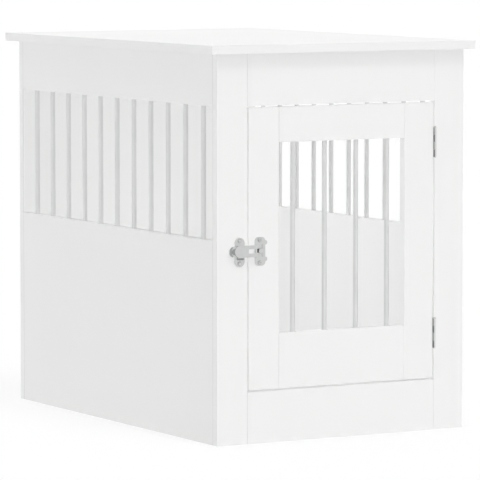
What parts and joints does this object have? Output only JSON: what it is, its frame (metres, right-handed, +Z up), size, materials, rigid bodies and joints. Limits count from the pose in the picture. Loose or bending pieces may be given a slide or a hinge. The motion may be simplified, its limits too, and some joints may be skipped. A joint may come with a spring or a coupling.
{
  "type": "dog crate end table",
  "caption": "White board cabinet that is a dog crate and a side table: barred windows in both sides, a hinged barred door with a flip latch, solid back, floor and overhanging top.",
  "frame": {"origin": "on the ground, under the middle of the top panel's footprint", "axes": "+Z up; the door faces -Y; +X is to the right of someone who looks at the door"},
  "size_m": [0.535, 0.79, 0.69],
  "materials": {
    "white_board": "matt white facing on engineered board",
    "bar_metal": "satin steel",
    "fitting_metal": "satin nickel plate"
  },
  "bodies": {
    "cabinet": {"top_panel": "white_board", "back_panel": "white_board", "front_post_left": "white_board", "front_post_right": "white_board", "front_apron": "white_board", "front_sill": "white_board", "side_panel_left": "white_board", "side_panel_right": "white_board", "side_rail_left": "white_board", "side_rail_right": "white_board", "floor_panel": "white_board", "floor_cleat_left": "white_board", "floor_cleat_right": "white_board", "floor_support_rail": "white_board", "side_bar_left_01": "bar_metal", "side_bar_left_02": "bar_metal", "side_bar_left_03": "bar_metal", "side_bar_left_04": "bar_metal", "side_bar_left_05": "bar_metal", "side_bar_left_06": "bar_metal", "side_bar_left_07": "bar_metal", "side_bar_left_08": "bar_metal", "side_bar_left_09": "bar_metal", "side_bar_left_10": "bar_metal", "side_bar_left_11": "bar_metal", "side_bar_right_01": "bar_metal", "side_bar_right_02": "bar_metal", "side_bar_right_03": "bar_metal", "side_bar_right_04": "bar_metal", "side_bar_right_05": "bar_metal", "side_bar_right_06": "bar_metal", "side_bar_right_07": "bar_metal", "side_bar_right_08": "bar_metal", "side_bar_right_09": "bar_metal", "side_bar_right_10": "bar_metal", "side_bar_right_11": "bar_metal", "hinge_upper_frame_leaf": "fitting_metal", "hinge_upper_pin": "fitting_metal", "hinge_lower_frame_leaf": "fitting_metal", "hinge_lower_pin": "fitting_metal", "latch_post_plate": "fitting_metal", "latch_catch_block": "fitting_metal", "latch_screw_post_upper": "fitting_metal", "latch_screw_post_lower": "fitting_metal"},
    "door": {"door_stile_left": "white_board", "door_stile_right": "white_board", "door_rail_top": "white_board", "door_rail_bottom": "white_board", "door_bar_01": "bar_metal", "door_bar_02": "bar_metal", "door_bar_03": "bar_metal", "door_bar_04": "bar_metal", "hinge_upper_door_leaf": "fitting_metal", "hinge_lower_door_leaf": "fitting_metal", "latch_door_plate": "fitting_metal", "latch_pin": "fitting_metal", "latch_screw_door_upper": "fitting_metal", "latch_screw_door_lower": "fitting_metal"},
    "latch_tongue": {"latch_tongue": "fitting_metal"}
  },
  "joints": [
    {"name": "door_hinge", "type": "hinge", "parent": "cabinet", "child": "door", "pos_m": [0.1895, -0.38516, 0.34], "axis": [0, 0, 1], "range_deg": [0, 170]},
    {"name": "latch_hinge", "type": "hinge", "parent": "door", "child": "latch_tongue", "pos_m": [-0.1757, -0.3861, 0.334], "axis": [0, 0, 1], "range_deg": [0, 150]}
  ]
}
